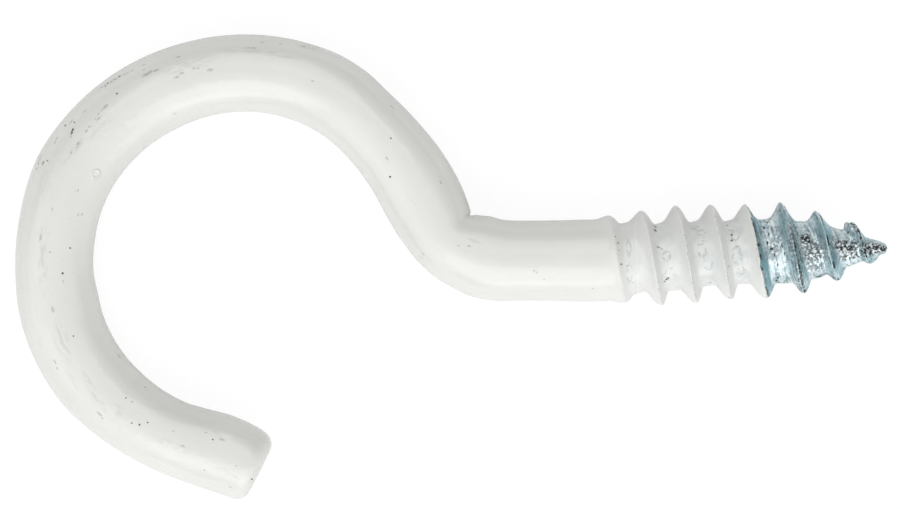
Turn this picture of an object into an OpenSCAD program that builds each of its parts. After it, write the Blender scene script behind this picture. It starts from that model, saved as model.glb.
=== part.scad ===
// Screw hook: a steel wire bent to an open eye, with a wood-screw thread rolled on its end.
// White coat covers it down to the fifth crest of the thread, and the rest is bare zinc plate.
// It lies flat in XY, and +X runs along the shank towards the point. The origin is on the
// shank's axis, where the plain wire ends and the thread begins. All sizes are in millimetres.

/* [Wire] */
// Diameter of the coated wire
wire_d = 5.5; // [4.6:0.1:6.4]
// Straight length of plain shank
shank_l = 5.6; // [3:0.1:20]
// Rounding of the free end's rim
end_round = 1.1; // [0.3:0.1:1.8]

/* [Hook] */
// Inside diameter of the open eye
eye_d = 20.6; // [16:0.1:32]
// Angle that the wire turns round the eye
eye_turn = 192; // [150:1:205]
// Straight length of the free end
lip_l = 3.1; // [0.5:0.1:6]
// Angle by which the free end is bent away from the eye
lip_flare = 9; // [2:1:30]

/* [Neck] */
// Inside radius of the easy bend that lifts the wire off the shank
lift_inside_r = 5.6; // [3:0.1:12]
// Angle of the easy bend
lift_turn = 25.5; // [10:0.5:32]
// Inside radius of the sharp bend, where the wire is creased
crease_inside_r = 0.4; // [0.2:0.1:3]
// Angle of the sharp bend
crease_turn = 40; // [25:1:50]
// Inside radius of the neck
neck_inside_r = 22; // [10:0.1:30]
// Angle of the neck
neck_turn = 22.5; // [10:0.5:35]
// Inside radius of the shoulder, between the neck and the eye
shoulder_inside_r = 4.5; // [3:0.1:9]
// Angle of the shoulder
shoulder_turn = 13; // [4:1:20]

/* [Thread] */
// Diameter over the crests
thread_d = 6.6; // [6:0.1:8]
// Diameter of the core between the crests
core_d = 4.4; // [3.4:0.1:4.8]
// Distance from crest to crest
pitch = 2.4; // [1.6:0.1:3.4]
// Length of the thread with its point
thread_l = 20.3; // [14:0.1:40]
// Length over which the core tapers to the point
point_l = 6.2; // [4:0.1:9]
// Radius of the blunt tip
tip_r = 0.3; // [0.15:0.05:0.6]
// Length over which the crests grow out of the shank
run_in_l = 2.6; // [2:0.1:8]
// Width of the flat on a crest
crest_w = 0.2; // [0.1:0.05:0.4]
// Width of the flat root
root_w = 0.6; // [0.3:0.05:0.9]
// Angle by which the thread leans out of the shank's line
thread_lean = 3.1; // [0:0.1:6]

/* [Hidden] */
$fn = 64;

COAT_WHITE = [0.93, 0.93, 0.92];
ZINC_GREY = [0.68, 0.74, 0.77];

wire_r = wire_d / 2;
lip_inside_r = wire_d;
lip_end_l = end_round + 0.1;

// Steps round one turn of the thread, and the angle at which the first crest rises
STEPS = 36;
FIRST_CREST_ANGLE = -90;
// Plain length before the first crest, how far the threaded end is sunk in the shank, and how
// much narrower it is there, as a share of that length
LEAD_L = 0.45;
SUNK_L = 0.8;
SUNK_TAPER = 0.25;
// Every other length of wire is thinner by SKIN and reaches REACH_L into its neighbours, so
// that no two surfaces of the wire coincide. The threaded end sits in the shank the same way.
SKIN = 0.02;
REACH_L = 0.1;
// Share of a turn in which the first groove gets its depth
GROOVE_RUN_IN = 0.3;
// Where the root begins on the tip's side of a crest, and where the two flanks turn at their
// feet, as shares of the pitch; and the height of those feet, as shares of the crest's height
ROOT_START = 0.31;
FRONT_FOOT = 0.06;
BACK_FOOT = 0.13;
FRONT_FOOT_HEIGHT = 0.12;
BACK_FOOT_HEIGHT = 0.28;

crest_r = thread_d / 2;
core_r = core_d / 2;
thin_r = wire_r - SKIN;
root_x = ROOT_START * pitch;
tip_x = thread_l - tip_r / 2;
last_step = floor(STEPS * ((tip_x - LEAD_L - crest_w) / pitch - 1));

// One pitch of the thread, from crest to crest: place along the axis, share of the height.
// The root ends at point ROOT_END, counted from 0
ROOT_END = 3;
profile = [
    [crest_w / 2, 1],
    [root_x - FRONT_FOOT * pitch, FRONT_FOOT_HEIGHT],
    [root_x, 0],
    [root_x + root_w, 0],
    [root_x + root_w + BACK_FOOT * pitch, BACK_FOOT_HEIGHT],
    [pitch - crest_w / 2, 1],
];

function clamp01(v) = min(1, max(0, v));

// How far the thread has grown at x, from 0 at the shank to 1
function grown(x) = clamp01((x - LEAD_L) / run_in_l);

// Radius of the core and of the crests at x along the thread
function core_at(x) = min(core_r, tip_r + (core_r - tip_r) * (tip_x - x) / point_l);
function ridge_at(x) = (crest_r - core_r) * sqrt(clamp01((tip_x - x) / point_l));
function crest_at(x) = thin_r + (core_at(x) + ridge_at(x) - thin_r) * grown(x);
function root_at(x, step) =
    thin_r + (core_at(x) - thin_r) * grown(x) * clamp01(step / (STEPS * GROOVE_RUN_IN));

function step_angle(step) = FIRST_CREST_ANGLE + 360 * step / STEPS;

// A point at a step round the thread, x along it and r from its axis
function at(step, x, r) = [x, r * cos(step_angle(step)), r * sin(step_angle(step))];

// Point j of the profile, at a step along the helix
function helix_point(step, j) =
    let (x = LEAD_L + pitch * step / STEPS + profile[j][0])
    at(step, x, root_at(x, step) + profile[j][1] * (crest_at(x) - root_at(x, step)));

// The foot of the first crest, on the plain side
function foot_point(step) =
    let (x = LEAD_L + pitch * step / STEPS - profile[1][0])
    at(step, max(LEAD_L / 2, x), thin_r);

// The threaded end, as rings and a helical grid of points
module thread() {
    sunk_ring = [for (i = [0:STEPS - 1]) at(i, -SUNK_L, thin_r - SUNK_TAPER * SUNK_L)];
    shank_ring = [for (i = [0:STEPS - 1]) at(i, 0, thin_r)];
    foot_line = [for (i = [0:STEPS - 1]) foot_point(i)];
    tip_ring = [for (i = [0:STEPS - 1]) at(last_step + i, tip_x, tip_r)];
    columns = len(profile);
    grid = [for (k = [0:last_step]) for (j = [0:columns - 1]) helix_point(k, j)];
    far_crest = [for (k = [last_step + 1:last_step + STEPS]) helix_point(k, 0)];
    apex = [[thread_l, 0, 0]];

    at_shank = STEPS;
    at_foot = 2 * STEPS;
    at_tip = 3 * STEPS;
    at_grid = 4 * STEPS;
    at_far = at_grid + len(grid);
    at_apex = at_far + len(far_crest);

    // Number of grid point j at step k, where the last column is the next turn's first
    function g(k, j) =
        j == columns ? g(k + STEPS, 0)
        : k > last_step ? at_far + k - last_step - 1
        : at_grid + k * columns + j;
    function next(i) = (i + 1) % STEPS;

    sunk_cap = [[for (i = [0:STEPS - 1]) i]];
    sunk_side = [for (i = [0:STEPS - 1]) [i, at_shank + i, at_shank + next(i), next(i)]];
    plain_side = [
        for (i = [0:STEPS - 2])
            [at_shank + i, at_foot + i, at_foot + i + 1, at_shank + i + 1]
    ];
    first_flank = [
        for (i = [0:STEPS - 2]) [at_foot + i, g(i, 0), g(i + 1, 0), at_foot + i + 1]
    ];
    // The first turn closes on the profile at step 0
    first_seam = concat(
        [[at_shank + STEPS - 1, at_foot + STEPS - 1, at_foot, at_shank]],
        [[at_foot + STEPS - 1, g(0, 0), at_foot]],
        [for (j = [0:ROOT_END - 1]) [at_foot + STEPS - 1, g(0, j + 1), g(0, j)]],
        [[at_foot + STEPS - 1, g(STEPS - 1, 0), g(0, ROOT_END)]],
        [for (j = [ROOT_END:columns - 1]) [g(STEPS - 1, 0), g(0, j + 1), g(0, j)]]
    );
    turns = [
        for (k = [0:last_step - 1]) for (j = [0:columns - 1])
            [g(k, j), g(k, j + 1), g(k + 1, j + 1), g(k + 1, j)]
    ];
    // The last turn closes on the ring round the tip
    last_flank = [
        for (i = [1:STEPS - 1])
            [g(last_step + i, 0), at_tip + i, at_tip + next(i), g(last_step + i + 1, 0)]
    ];
    last_seam = concat(
        [for (j = [0:columns - 1]) [g(last_step + 1, 0), g(last_step, j), g(last_step, j + 1)]],
        [[g(last_step + 1, 0), g(last_step, columns), at_tip]],
        [[g(last_step + 1, 0), at_tip, at_tip + 1]]
    );
    tip = [for (i = [0:STEPS - 1]) [at_tip + i, at_apex, at_tip + next(i)]];

    polyhedron(
        points = concat(sunk_ring, shank_ring, foot_line, tip_ring, grid, far_crest, apex),
        faces = concat(sunk_cap, sunk_side, plain_side, first_flank, first_seam, turns,
                       last_flank, last_seam, tip)
    );
}

// A straight length of wire along +X, and what follows it
module straight(length) {
    rotate([0, 90, 0])
        cylinder(h = length, r = wire_r);
    translate([length, 0, 0])
        children();
}

// A bend of the wire, to the left where turn is above 0, and what follows it. A thin bend
// reaches a little way into the lengths on both sides of it, just inside their surface.
module bend(inside_r, turn, thin = false) {
    side = sign(turn);
    bend_r = inside_r + wire_r;
    reach = thin ? REACH_L / bend_r * 180 / PI : 0;
    translate([0, side * bend_r, 0])
        rotate([0, 0, (turn > 0 ? -90 : 90 + turn) - reach])
            rotate_extrude(angle = abs(turn) + 2 * reach)
                translate([bend_r, 0])
                    circle(r = thin ? thin_r : wire_r);
    translate([bend_r * sin(abs(turn)), side * bend_r * (1 - cos(turn)), 0])
        rotate([0, 0, turn])
            children();
}

// The free end of the wire, with its rim rounded
module wire_end() {
    rotate([0, 90, 0])
        rotate_extrude() {
            square([wire_r - end_round, lip_end_l]);
            square([wire_r, lip_end_l - end_round]);
            intersection() {
                square([wire_r, lip_end_l]);
                translate([wire_r - end_round, lip_end_l - end_round])
                    circle(r = end_round);
            }
        }
}

// The bent wire, from the thread back along the shank and round the eye
module bent_wire() {
    rotate([0, 0, 180])
        straight(shank_l)
        bend(lift_inside_r, -lift_turn, thin = true)
        bend(crease_inside_r, -crease_turn)
        bend(neck_inside_r, neck_turn, thin = true)
        bend(shoulder_inside_r, shoulder_turn)
        bend(eye_d / 2, eye_turn, thin = true)
        straight(lip_l)
        bend(lip_inside_r, -lip_flare, thin = true)
        wire_end();
}

module hook() {
    color(COAT_WHITE)
        bent_wire();
    color(ZINC_GREY)
        rotate([0, 0, thread_lean])
            thread();
}

hook();
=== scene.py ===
"""Looks of the screw hook: one bent steel wire with a rolled wood-screw thread on its end,
zinc plated all over and then dipped in white coating down to the fifth turn of the thread.

Everything is in metres in the part's own frame: the hook lies flat in XY, +X runs along the
shank to the point, and the origin is on the shank's axis where the thread begins. Sizes are
written in millimetres and turned to metres by MM.
"""
import math
from types import SimpleNamespace

import bpy
import numpy as np
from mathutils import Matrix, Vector, noise


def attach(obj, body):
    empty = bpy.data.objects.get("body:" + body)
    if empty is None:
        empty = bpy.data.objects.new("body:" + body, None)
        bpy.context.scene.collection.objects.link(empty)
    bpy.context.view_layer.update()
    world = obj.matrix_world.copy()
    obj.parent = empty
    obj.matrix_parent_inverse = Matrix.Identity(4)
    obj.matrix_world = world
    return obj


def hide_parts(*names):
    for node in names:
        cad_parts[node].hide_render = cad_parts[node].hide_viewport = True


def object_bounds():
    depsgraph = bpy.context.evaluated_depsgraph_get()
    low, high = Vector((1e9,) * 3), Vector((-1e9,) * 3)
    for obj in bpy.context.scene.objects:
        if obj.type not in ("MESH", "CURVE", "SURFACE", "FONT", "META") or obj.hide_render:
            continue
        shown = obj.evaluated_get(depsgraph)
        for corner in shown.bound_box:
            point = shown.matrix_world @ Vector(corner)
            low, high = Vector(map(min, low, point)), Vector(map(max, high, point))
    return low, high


MM = 0.001

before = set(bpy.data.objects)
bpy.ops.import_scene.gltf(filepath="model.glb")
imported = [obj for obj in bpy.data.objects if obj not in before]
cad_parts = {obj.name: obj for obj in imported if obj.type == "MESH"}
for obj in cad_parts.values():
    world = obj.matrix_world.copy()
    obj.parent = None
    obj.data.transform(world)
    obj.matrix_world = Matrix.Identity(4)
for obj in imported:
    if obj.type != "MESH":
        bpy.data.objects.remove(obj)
cad_box = [list(map(float, corner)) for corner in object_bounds()]

# ---------------------------------------------------------------- sizes of the hook, in mm

WIRE_R = 2.75
AROUND = 128                # points round the wire
RING_STEP = 0.22            # distance between rings of points along the wire
# The wire is bent in this order, from the thread to the free end: (length of straight wire),
# or (radius of the wire's axis, turn in degrees, positive to the left of the way it runs)
SHANK = (5.6,)
LIFT = (8.35, -25.5)
CREASE = (3.15, -40.0)
NECK = (24.75, 22.5)
SHOULDER = (7.25, 13.0)
EYE = (13.05, 192.0)
LIP = (3.1,)
FLARE = (8.25, -9.0)
BENDS = (SHANK, LIFT, CREASE, NECK, SHOULDER, EYE, LIP, FLARE)
RIM_R = 1.0                 # rounding of the free end's rim
END_L = 1.2                 # from the last bend to the end face
RIM_STEPS = 6
END_RINGS = (0.7, 0.35, 0.1)    # rings that close the end face, as shares of its radius
END_BULGE = 0.02            # each ring is drawn this much further out, and then narrowed
LEAST_STEPS = 6             # steps in the shortest bend
SWELL = 0.08                # the shank is this much fuller next to the thread
SWELL_L = 2.2

EASE_RINGS = 6              # rings to each side over which the tools' marks are eased
EASE_SPREAD = 1.8
# Where the bending tools left the wire fuller or slimmer: (mm from the thread, inner side of
# the eye, outer side), as mm that the surface stands out or in
TOOLING = (
    (0, 0, 0), (2.5, 0.02, 0), (5.5, 0.02, 0), (7, 0.13, 0.05), (8, 0.07, 0.13),
    (9, -0.12, -0.1), (10, -0.27, -0.28), (11, -0.24, -0.3), (12, 0.02, -0.18),
    (13, 0.06, -0.06), (14, 0.1, 0), (16, -0.05, 0.02), (18, -0.15, -0.08),
    (20, -0.16, -0.16), (21, -0.15, -0.2), (22, -0.07, -0.1), (24, -0.12, 0.03),
    (27, -0.12, -0.02), (30, -0.1, -0.07), (33, -0.04, -0.11), (36, 0.02, -0.07),
    (41, -0.03, 0.02), (44, -0.06, 0.12), (46.5, -0.04, -0.06), (48, 0.01, -0.13),
    (51, 0, -0.12), (53, 0.12, 0), (55, 0.02, 0.02), (59, -0.03, 0), (61, -0.02, -0.18),
    (64, -0.08, -0.31), (66, -0.12, -0.24), (68, -0.02, -0.16), (69, 0.07, -0.16),
    (70.2, -0.04, -0.12), (72.2, -0.24, -0.3),
)

# The sharp bend is creased on the thread's side: place, depth and length of the fold
FOLD_AT = 10.75
FOLD_DEPTH = 0.22
FOLD_L = 0.35

THREAD_L = 20.3
PITCH = 2.4
CORE_R = 2.6                # typical radius of the coated core, for distances round it
LEAN = math.radians(3.1)    # the thread leans out of the shank's line
LEAN_FROM = 1.0
LEAN_IN_L = 2.0             # length over which it does so
TIP_DROP = 0.25             # and its tip hangs back by this much
TIP_DROP_FROM = 13.0
TIP_ROUND = 0.3             # length over which the tip is rounded
LEAD_L = 0.45               # plain length before the first crest rises, at the back
GROOVE_RUN_IN = 0.3         # share of a turn in which the first groove gets its depth
COATED_TURNS = 4            # the coat ends on the crest after this many full turns
WOBBLE = 0.012              # unevenness of the crests, as a share of their radius
WOBBLE_FROM = 2.0
WOBBLE_ALONG = 0.45         # how fast it changes along the thread, and round it
WOBBLE_ROUND = 0.9
ROWS_PER_PITCH = 32
CRESTS_CLOSER = 0.75        # how much closer the rows lie at the crests, as a share
# Radius of the core at places along the thread, on its top side and underneath
CORE_TOP = (
    (0, 2.52), (1.7, 2.5), (4.3, 2.27), (6.6, 2.28), (9, 2.21), (11.5, 2.21), (14.2, 1.97),
    (16.2, 1.66), (16.7, 1.42), (18.7, 0.78), (19.5, 0.57), (20.1, 0.36), (20.3, 0.26),
)
CORE_UNDER = (
    (0, 2.77), (2.2, 2.6), (3.3, 2.35), (5.7, 2.37), (8.1, 2.16), (10.7, 2.18), (13.2, 2.3),
    (15.5, 1.95), (16.2, 1.6), (17.5, 1.19), (18.6, 0.77), (20.1, 0.36), (20.3, 0.26),
)
# Radius of the crests: they are on the top side and underneath by turns
CREST = (
    (0.45, 2.83), (1.05, 3.1), (2.25, 2.97), (3.45, 3.28), (4.65, 3.35), (5.85, 3.48),
    (7.05, 3.32), (8.25, 3.42), (9.45, 3.22), (10.65, 3.32), (11.85, 3.25), (13.05, 3.34),
    (14.25, 3.02), (15.45, 2.7), (16.65, 2.2), (17.85, 1.88), (19.05, 1.02), (20.3, 0.26),
)
# One pitch from crest to crest, towards the point: mm along, share of the ridge's height
TOP_PROFILE = (
    (0, 1), (0.14, 0.95), (0.28, 0.83), (0.41, 0.65), (0.55, 0.38), (0.69, 0.15), (0.83, 0.02),
    (0.97, 0), (1.1, 0.02), (1.38, 0.08), (1.52, 0.12), (1.66, 0.2), (1.79, 0.34), (1.93, 0.51),
    (2.07, 0.7), (2.21, 0.88), (2.33, 0.98), (2.4, 1),
)
UNDER_PROFILE = (
    (0, 0.98), (0.06, 0.93), (0.13, 0.74), (0.22, 0.4), (0.3, 0.16), (0.38, 0.03), (0.46, 0),
    (1.3, 0), (1.43, 0.12), (1.57, 0.3), (1.7, 0.52), (1.84, 0.7), (1.98, 0.84), (2.12, 0.93),
    (2.28, 1), (2.4, 0.98),
)
BARE_UNDER_PROFILE = (
    (0, 1), (0.1, 0.92), (0.24, 0.7), (0.37, 0.38), (0.49, 0.1), (0.57, 0), (1.6, 0), (1.75, 0.05),
    (1.87, 0.25), (2, 0.55), (2.12, 0.8), (2.25, 0.94), (2.4, 1),
)
FRONT_PROFILE = (
    (0, 1), (0.04, 0.94), (0.14, 0.66), (0.26, 0.34), (0.38, 0.1), (0.5, 0), (1.55, 0),
    (1.8, 0.07), (2, 0.25), (2.16, 0.52), (2.29, 0.85), (2.36, 0.98), (2.4, 1),
)
# The bare turns were rolled less evenly: mm that they have moved towards the point
STRETCH = (
    (0, 0), (11, 0), (13.05, 0.06), (14.25, 0.2), (15.45, 0.07), (16.65, 0.15), (18, 0.17),
    (19.5, 0.1), (20.3, 0),
)
SEAM_AT = 0.05              # rolling leaves a fine seam just past each bare crest
SEAM_W = 0.045
SEAM_DEPTH = 0.06
PROFILE_STEPS = 240         # steps in one pitch of the profile
ROUNDING_STEPS = 40         # steps to each side over which its corners are rounded
BARE_SLIM = 0.4             # how much slimmer bare ridges are on top, as a share
COATED_ROUND = 0.05         # rounding of the profile under the coat, and on bare steel
BARE_ROUND = 0.025
COAT_CLOSES = 50            # degrees to each side of the back in which its edge closes a turn
# The last crest is folded back into a small flap: turns before it, place round the thread,
# reach to each side and ease at its ends in degrees; how far it goes back and on from the
# crest, where it is highest, its edge and how much it falls for each mm from there
FLAP_ON = 7
FLAP_TURN = 92
FLAP_REACH = 30
FLAP_EASE = 6
FLAP_BACK = 0.44
FLAP_L = 0.24
FLAP_PEAK = -0.36
FLAP_EDGE = 0.03
FLAP_SLOPE = 1.1


def seat(value, table, column=1):
    """Value of a table at a place, straight between its rows."""
    return np.interp(value, [row[0] for row in table], [row[column] for row in table])


def smooth(t):
    t = np.clip(t, 0.0, 1.0)
    return t * t * (3.0 - 2.0 * t)


# ---------------------------------------------------------------- edit-mode helpers

def deselect_all():
    if bpy.context.object and bpy.context.object.mode != "OBJECT":
        bpy.ops.object.mode_set(mode="OBJECT")
    bpy.ops.object.select_all(action="DESELECT")


def work_on(piece):
    deselect_all()
    bpy.context.view_layer.objects.active = piece
    piece.select_set(True)


def points_of(piece):
    points = np.empty(len(piece.data.vertices) * 3)
    piece.data.vertices.foreach_get("co", points)
    return points.reshape(-1, 3)


def move_points(piece, points):
    piece.data.vertices.foreach_set("co", np.asarray(points, dtype=float).ravel())
    piece.data.update()


def corners_of(piece):
    """The point at each corner of each face, and how many corners each face has."""
    mesh = piece.data
    corners = np.empty(len(mesh.loops), dtype=int)
    sides = np.empty(len(mesh.polygons), dtype=int)
    mesh.loops.foreach_get("vertex_index", corners)
    mesh.polygons.foreach_get("loop_total", sides)
    return corners, sides


def keep_value(piece, name, values, period=0):
    """Stores a number for each point, which the finish reads by name. It is kept by face
    corner, so that it may jump at the seam where a turn closes. Where the points themselves
    close the turn, the number is carried on past its period."""
    corners, sides = corners_of(piece)
    read = np.asarray(values, dtype=float)[corners]
    if period:
        first = np.repeat(read[np.cumsum(sides) - sides], sides)
        read = first + (read - first + period / 2) % period - period / 2
    layer = piece.data.attributes.new(name, "FLOAT", "CORNER")
    layer.data.foreach_set("value", read)


def keep_nearest(piece, name, along, degrees, marks, girth_r):
    """Stores where each face lies from its nearest mark, in half lengths and half widths of
    that mark, so that a mark smaller than a face still has its own crisp shape. A round
    mark gives one radius for both."""
    corners, sides = corners_of(piece)
    table = np.array([(mark[0], mark[1], mark[2], mark[-1]) for mark in marks])

    def offset(points, mark):
        turn = np.radians((degrees[points] - mark[..., 1] + 180) % 360 - 180)
        return (along[points] - mark[..., 0]) / mark[..., 2], turn * girth_r / mark[..., 3]

    starts = np.cumsum(sides) - sides
    run, arc = offset(corners[starts][:, None], table[None])
    nearest = np.hypot(run, arc).argmin(axis=1)
    run, arc = offset(corners, table[np.repeat(nearest, sides)])
    layer = piece.data.attributes.new(name, "FLOAT_VECTOR", "CORNER")
    layer.data.foreach_set("vector", np.stack([run, arc, 0 * run], axis=1).ravel())


# ---------------------------------------------------------------- the bent wire

def extrude_ring(along, heading):
    step = (along * MM * math.cos(heading), along * MM * math.sin(heading), 0)
    bpy.ops.mesh.extrude_region_move(TRANSFORM_OT_translate={"value": step})


def narrow_ring(x, y, heading, reach, narrower):
    """Narrows the ring just drawn, whose centre is reach mm on from a place."""
    centre = ((x + reach * math.cos(heading)) * MM, (y + reach * math.sin(heading)) * MM, 0)
    bpy.ops.transform.resize(value=(narrower,) * 3, center_override=centre)


def bend_wire():
    """Draws the wire out of one ring of points, bend after bend, and rounds its free end."""
    deselect_all()
    bpy.ops.mesh.primitive_circle_add(
        vertices=AROUND, radius=WIRE_R * MM, fill_type="NOTHING",
        rotation=(0, math.pi / 2, 0), enter_editmode=True,
    )
    wire = bpy.context.object
    wire.name = "screw_hook"
    bpy.ops.object.mode_set(mode="OBJECT")
    bpy.ops.object.transform_apply(location=True, rotation=True, scale=True)
    bpy.ops.object.mode_set(mode="EDIT")
    bpy.ops.mesh.select_all(action="SELECT")
    x, y, heading = 0.0, 0.0, math.pi
    for bend in BENDS:
        if len(bend) == 1:
            steps = round(bend[0] / RING_STEP)
            for _ in range(steps):
                extrude_ring(bend[0] / steps, heading)
            x += bend[0] * math.cos(heading)
            y += bend[0] * math.sin(heading)
            continue
        radius, turn = bend[0], math.radians(bend[1])
        side = math.copysign(1, turn)
        centre_x = x - side * radius * math.sin(heading)
        centre_y = y + side * radius * math.cos(heading)
        bpy.ops.mesh.spin(
            steps=max(LEAST_STEPS, round(abs(turn) * radius / RING_STEP)), angle=-turn,
            center=(centre_x * MM, centre_y * MM, 0), axis=(0, 0, 1),
        )
        heading += turn
        x = centre_x + side * radius * math.sin(heading)
        y = centre_y - side * radius * math.cos(heading)
    extrude_ring((END_L - RIM_R) / 2, heading)
    extrude_ring((END_L - RIM_R) / 2, heading)
    drawn, width = 0.0, WIRE_R
    for k in range(1, RIM_STEPS + 1):
        angle = math.pi / 2 * k / RIM_STEPS
        reach, narrow = RIM_R * math.sin(angle), WIRE_R - RIM_R * (1 - math.cos(angle))
        extrude_ring(reach - drawn, heading)
        narrow_ring(x, y, heading, END_L - RIM_R + reach, narrow / width)
        drawn, width = reach, narrow
    for share in END_RINGS:
        narrow = share * (WIRE_R - RIM_R)
        extrude_ring(END_BULGE, heading)
        narrow_ring(x, y, heading, END_L, narrow / width)
        width = narrow
    bpy.ops.mesh.edge_face_add()
    bpy.ops.object.mode_set(mode="OBJECT")
    return wire


def work_wire(wire):
    """Gives the drawn wire the dents and flats of the bending tools, ring by ring.
    Returns each point's mm along the wire and its angle round it, 0 at the front and
    positive to the outer side of the eye."""
    points = points_of(wire) / MM
    rings = points.reshape(-1, AROUND, 3)
    centres = rings.mean(axis=1)
    along = np.concatenate([[0], np.cumsum(np.linalg.norm(np.diff(centres, axis=0), axis=1))])
    way = np.gradient(centres, axis=0)
    way /= np.linalg.norm(way, axis=1)[:, None]
    way[0] = (-1, 0, 0)
    outward = np.stack([way[:, 1], -way[:, 0], np.zeros(len(way))], axis=1)
    across = np.einsum("rpk,rk->rp", rings - centres[:, None], outward)
    height = rings[:, :, 2]
    around = np.degrees(np.arctan2(across, height))

    weight = np.exp(-0.5 * (np.arange(-EASE_RINGS, EASE_RINGS + 1) / EASE_SPREAD) ** 2)
    inner, outer = (
        np.convolve(np.pad(seat(along, TOOLING, side), EASE_RINGS, "edge"),
                    weight / weight.sum(), "valid")[:, None]
        for side in (1, 2)
    )
    outer = outer - FOLD_DEPTH * np.exp(-np.abs(along - FOLD_AT) / FOLD_L)[:, None]
    share = np.clip(np.abs(across) / WIRE_R, 0, 1) ** 2
    push = np.where(across > 0, outer, -inner) * share
    swell = SWELL / WIRE_R * np.exp(-(along / SWELL_L) ** 2)[:, None]
    rings += (across * swell + push)[:, :, None] * outward[:, None]
    rings[:, :, 2] += height * swell
    move_points(wire, rings.reshape(-1, 3) * MM)
    return np.repeat(along, AROUND), around.ravel()


# ---------------------------------------------------------------- the thread

def rounded_profile(table, spread):
    """One pitch of the thread, from crest to crest, with its corners rounded over spread mm."""
    raw = seat(np.arange(PROFILE_STEPS) * PITCH / PROFILE_STEPS, table)
    away = np.arange(-ROUNDING_STEPS, ROUNDING_STEPS + 1) * PITCH / PROFILE_STEPS
    weight = np.exp(-0.5 * (away / spread) ** 2)
    return np.convolve(np.pad(raw, ROUNDING_STEPS, "wrap"), weight / weight.sum(), "valid")


def ridge_at(gap, degrees, sharp):
    """Share of the ridge's height, gap mm past a crest. The ridge is slimmer at the front and
    the back than on top and underneath. Sharp runs from 0 on the coat to 1 on bare steel."""
    places = np.arange(PROFILE_STEPS) * PITCH / PROFILE_STEPS
    rise = np.sin(np.radians(degrees))
    top = np.clip(rise, 0, 1) ** 2 * (1 - BARE_SLIM * sharp)
    under = np.clip(-rise, 0, 1) ** 2
    shares = ((TOP_PROFILE, top), (UNDER_PROFILE, under * (1 - sharp)),
              (BARE_UNDER_PROFILE, under * sharp), (FRONT_PROFILE, 1 - top - under))
    ridge = 0
    for table, share in shares:
        soft, crisp = (np.interp(gap, places, rounded_profile(table, spread), period=PITCH)
                       for spread in (COATED_ROUND, BARE_ROUND))
        ridge = ridge + share * (soft + (crisp - soft) * sharp)
    return ridge


def thread_point(along, degrees):
    """Shape of the thread: mm along its axis and an angle from the back, over the top (90),
    the front (180) and the underside (270), to a radius and the share of the ridge there."""
    first = LEAD_L + PITCH * degrees / 360
    turns = np.floor((along - first) / PITCH)
    gap = along - first - turns * PITCH
    past = along - first - COATED_TURNS * PITCH
    # The bare shape begins at the coat's edge, and at the back it closes the turn softly
    from_back = smooth(np.minimum(degrees, 360 - degrees) / COAT_CLOSES)
    closing = smooth((along - LEAD_L) / PITCH - COATED_TURNS)
    bare = closing + (smooth(past / COATED_ROUND) - closing) * from_back
    top = 0.5 + 0.5 * np.sin(np.radians(degrees))
    ridge = ridge_at(gap, degrees, bare)
    # The last crest is folded back at the top into a small flap, steep on both its sides
    from_flap = along - first - FLAP_ON * PITCH
    flap = (smooth((FLAP_REACH - np.abs(degrees - FLAP_TURN)) / FLAP_EASE)
            * smooth((FLAP_BACK + from_flap) / FLAP_EDGE)
            * smooth((FLAP_L - from_flap) / FLAP_EDGE))
    ridge = np.maximum(ridge, flap * (1 - FLAP_SLOPE * np.abs(from_flap - FLAP_PEAK)))
    # The ridge grows from nothing at the plain wire, whose ring it meets
    ridge = ridge * smooth(along / LEAD_L)
    off_crest = np.where(gap > PITCH / 2, gap - PITCH, gap)
    seam = SEAM_DEPTH * np.exp(-((off_crest - SEAM_AT) / SEAM_W) ** 2)
    seam = seam * bare * smooth((THREAD_L - along) / PITCH)
    plain = WIRE_R + SWELL * np.exp(-(np.clip(along, 0, None) / SWELL_L) ** 2)
    groove = smooth((turns + degrees / 360) / GROOVE_RUN_IN) * (turns >= 0)
    core = seat(along, CORE_UNDER) + (seat(along, CORE_TOP) - seat(along, CORE_UNDER)) * top
    root = plain + (np.minimum(core, plain) - plain) * groove
    # A crest keeps one radius over its own width, so it is read at the crest's own place
    near_crest = along - gap + np.where(gap > PITCH / 2, PITCH, 0)
    crest = np.maximum(seat(near_crest, CREST), root)
    return root + (crest - root) * ridge - seam, ridge


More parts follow.
